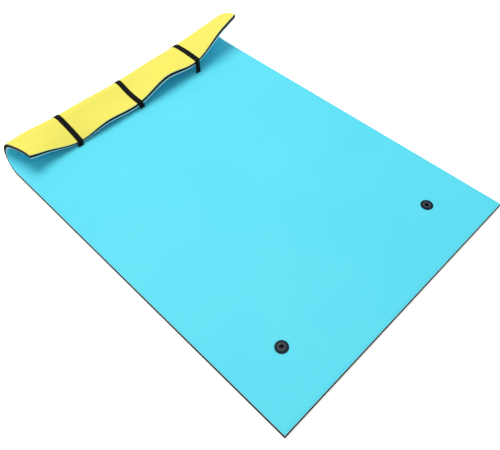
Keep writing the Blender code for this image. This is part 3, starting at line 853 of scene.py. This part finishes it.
def corner_arc(first, second, radius, steps):
    """Places and headings round the corner from one unit heading to another, in their plane."""
    turned = math.acos(max(-1.0, min(1.0, float(first @ second))))
    side = unit(square_to(second, first))
    angles = np.linspace(0.0, turned, steps)[:, None]
    places = radius * (np.sin(angles) * first + (1 - np.cos(angles)) * side)
    headings = np.cos(angles) * first + np.sin(angles) * side
    return places, headings


def path_lengths(middles):
    """How far along its line each middle is."""
    return np.concatenate([[0.0], np.cumsum(np.linalg.norm(np.diff(middles, axis=0), axis=1))])


print("straps are", STRAP_WIDTH, "wide")

# %% [markdown]
# ## Three straps
# Each strap comes up through its slot, which anchors it, runs under the mat in its groove, goes
# round the roll and over the flap, bends down over the free edge, and ends where its tab meets the
# slot. It is split where the foam is.

# %% Three straps
SLOT_CORNER = 0.003
RIM_CORNER = 0.0035
RIM_LEAD = 0.02
RIM_OVERRUN = 0.0005
UPRIGHT_STEPS, SLOT_CORNER_STEPS, GROUND_STEPS = 8, 7, 24
FIRST_STRAP_STEPS, STRAP_STEPS, OVER_STEPS = 48, 18, 70
RIM_STEPS, RIM_CORNER_STEPS, TAB_STEPS = 8, 9, 24
DOWN = np.array([0.0, 0.0, -1.0])
AHEAD = np.array([1.0, 0.0, 0.0])
LEFTWARD = np.array([0.0, 1.0, 0.0])


def seam_at(seam, y):
    """How far past the slots a seam lies, at a place across the mat."""
    return float(np.interp(y / HALF_WIDTH, share_table, seam))


def anchor_stretch(side, y):
    """Down through the slot, round its lower corner, and along the groove."""
    bend_top = STRAP_FLOOR_GAP + STRAP_THICKNESS / 2 + SLOT_CORNER
    heights = np.linspace(THICKNESS - SLOT_CORNER / 2, bend_top, UPRIGHT_STEPS)
    upright = np.array([(SLOTS_X, y, height) for height in heights])
    arc, headings = corner_arc(DOWN, AHEAD, SLOT_CORNER, SLOT_CORNER_STEPS)
    arc, headings = upright[-1] + arc[1:], headings[1:]
    reaches = np.linspace(SLOT_CORNER * 2, BED_END, GROUND_STEPS)
    flat, flat_across, flat_outward = strap_line(y, reaches)
    middles = np.vstack([upright, arc, flat])
    across = np.vstack([np.tile(LEFTWARD, (len(upright) + len(arc), 1)), flat_across])
    outward = np.vstack([np.tile(-AHEAD, (len(upright), 1)), np.cross(LEFTWARD, headings),
                         flat_outward])
    piece = ribbon(f"strap_{side}_under", middles, across, outward, path_lengths(middles))
    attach(piece, "mat")
    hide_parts(f"strap_{side}_anchor")


def roll_stretches(side, y):
    """Round the roll, in one stretch for each hinge line."""
    for number in range(len(HINGE_TURNS)):
        first, last = seam_at(SEAMS[number], y), seam_at(SEAMS[number + 1], y)
        steps = FIRST_STRAP_STEPS if number == 0 else STRAP_STEPS
        reaches = np.linspace(first, last, steps)
        piece = ribbon(f"strap_{side}_turn_{number + 1}", *strap_line(y, reaches), reaches)
        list(hinge_zone(number))
        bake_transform(piece)
        if CHAIN[number + 1] != "flap":
            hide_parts(f"strap_{side}_bend_{number + 1}")


def flap_stretch(side, y):
    """Over the flap, nearly to its free edge."""
    reaches = np.linspace(seam_at(SEAMS[-1], y), FREE_EDGE - RIM_LEAD, OVER_STEPS)
    piece = ribbon(f"strap_{side}_over", *strap_line(y, reaches), reaches)
    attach(piece, "flap")
    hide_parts(f"strap_{side}_flap")


def end_stretch(side, y):
    """Over the free edge and down to the slot, turning level with it on the way."""
    reaches = np.linspace(FREE_EDGE - RIM_LEAD, FREE_EDGE + RIM_OVERRUN, RIM_STEPS)
    over, over_across, over_outward = strap_line(y, reaches)
    foot = np.array([SLOTS_X, y, THICKNESS + BOND_GAP])
    drop = unit(foot - over[-1])
    arc, headings = corner_arc(unit(over[-1] - over[-2]), drop, RIM_CORNER, RIM_CORNER_STEPS)
    arc = arc + over[-1]
    straight = np.linspace(arc[-1], foot, TAB_STEPS)[1:]
    middles = np.vstack([over, arc[1:], straight])
    down_heading = unit(foot - arc[-1])
    headings = np.vstack([headings[1:], np.tile(down_heading, (len(straight), 1))])
    level = unit(square_to(LEFTWARD, down_heading))
    share = np.linspace(0.0, 1.0, len(headings))[:, None]
    end_across = unit(square_to(over_across[-1] * (1 - share) + level * share, headings))
    end_outward = np.cross(end_across, headings)
    end_outward = end_outward * np.sign((end_outward[:1] * over_outward[-1]).sum())
    across = np.vstack([over_across, end_across])
    outward = np.vstack([over_outward, end_outward])
    lengths = path_lengths(middles) + FREE_EDGE - RIM_LEAD
    piece = ribbon(f"strap_{side}_end", middles, across, outward, lengths)
    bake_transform(piece)
    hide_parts(f"strap_{side}_tab")
    print("strap", side, "ends at", np.round(middles[-1], 4))


for side, y in STRAPS.items():
    anchor_stretch(side, y)
    roll_stretches(side, y)
    flap_stretch(side, y)
    end_stretch(side, y)

# %% [markdown]
# ## Grommets
# Each grommet is moulded plastic in three parts: a black flange on the deck, a grey eyelet whose
# barrel goes down through the foam, and a washer let into the underside. They are round, so each
# one is a profile spun about its middle, with its corners bevelled in the profile.

# %% Grommets
FLANGE_RADIUS, FLANGE_HEIGHT, FLANGE_ROUNDING = 0.0365, 0.0025, 0.0009
EYELET_RADIUS, EYELET_HEIGHT, EYELET_ROUNDING = 0.0245, 0.0018, 0.0008
WASHER_RADIUS, WASHER_HEIGHT, WASHER_ROUNDING = 0.030, 0.002, 0.0006
BARREL_RADIUS, BORE_RADIUS = 0.0155, 0.0125
GROMMET_CLEARANCE = 0.0004
PLASTIC_GRAIN_SCALE = 260.0
PLASTIC_ROUGHNESS = (0.4, 0.62)
GRAIN_SHADES = (0.8, 1.25)
CORNER_SHARE = 0.45


def plastic_look(name, colour, specular):
    """Moulded plastic with a faint texture and a worn, uneven gloss."""
    look, tree, shader = new_look(name, Specular_IOR_Level=specular)
    grain = pattern(tree, "ShaderNodeTexNoise", Scale=PLASTIC_GRAIN_SCALE, Detail=4.0)
    darker, paler = ([shade * value for value in colour] for shade in GRAIN_SHADES)
    two_colours(tree, shader, grain.outputs["Fac"], darker, paler)
    uneven_gloss(tree, shader, grain.outputs["Fac"], *PLASTIC_ROUGHNESS)
    relief(tree, shader, grain.outputs["Fac"], strength=0.15, distance=0.0003)
    return look


BLACK_PLASTIC = plastic_look("black_plastic_moulded", (0.003, 0.014, 0.026), 0.12)
GREY_PLASTIC = plastic_look("grey_plastic_moulded", (0.040, 0.052, 0.068), 0.2)


def softened(profile, radius):
    """A closed profile, each corner cut back by up to a radius and rounded by one more point."""
    points = []
    for index, corner in enumerate(profile):
        before, after = profile[index - 1], profile[(index + 1) % len(profile)]
        cuts = []
        for other in (before, after):
            span = math.dist(corner, other)
            share = min(radius / span, CORNER_SHARE)
            cuts.append([c + (o - c) * share for c, o in zip(corner, other)])
        middle = [(a + b + 2 * c) / 4 for a, b, c in zip(*cuts, corner)]
        points += [cuts[0], middle, cuts[1]]
    return points


def turned_ring(name, profile, place, rounding, look):
    """A profile of radii and heights, spun about an upright line on the mat."""
    bm = bmesh.new()
    points = softened(profile, rounding)
    verts = [bm.verts.new((place[0] + radius, place[1], height)) for radius, height in points]
    edges = [bm.edges.new((verts[k - 1], verts[k])) for k in range(len(verts))]
    bmesh.ops.spin(bm, geom=verts + edges, cent=(*place, 0.0), axis=(0.0, 0.0, 1.0),
                   angle=2 * math.pi, steps=ROUND_STEPS, use_merge=True)
    bmesh.ops.recalc_face_normals(bm, faces=bm.faces)
    piece = link_piece(name, bm, (look,))
    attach(piece, "mat")
    return piece


def flat_profile(inner, outer, low, high):
    """The section of a flat ring."""
    return [(inner, low), (outer, low), (outer, high), (inner, high)]


deck_top = THICKNESS + BOND_GAP
flange_top = deck_top + FLANGE_HEIGHT
seat = flange_top + BOND_GAP
eyelet_top = seat + EYELET_HEIGHT
washer_top = STRAP_FLOOR_GAP + WASHER_HEIGHT
inside = BARREL_RADIUS + GROMMET_CLEARANCE
flange_profile = flat_profile(inside, FLANGE_RADIUS, deck_top, flange_top)
washer_profile = flat_profile(inside, WASHER_RADIUS, STRAP_FLOOR_GAP, washer_top)
eyelet_profile = [(BORE_RADIUS, STRAP_FLOOR_GAP), (BARREL_RADIUS, STRAP_FLOOR_GAP),
                  (BARREL_RADIUS, seat), (EYELET_RADIUS, seat), (EYELET_RADIUS, eyelet_top),
                  (BORE_RADIUS, eyelet_top)]

for side, place in GROMMETS.items():
    flange = turned_ring(f"flange_{side}", flange_profile, place, FLANGE_ROUNDING,
                         BLACK_PLASTIC)
    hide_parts(f"grommet_{side}_flange")
    eyelet = turned_ring(f"eyelet_{side}", eyelet_profile, place, EYELET_ROUNDING,
                         GREY_PLASTIC)
    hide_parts(f"grommet_{side}_eyelet")
    washer = turned_ring(f"washer_{side}", washer_profile, place, WASHER_ROUNDING,
                         BLACK_PLASTIC)
    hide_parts(f"grommet_{side}_washer")
    print("grommet", side, "at", place)
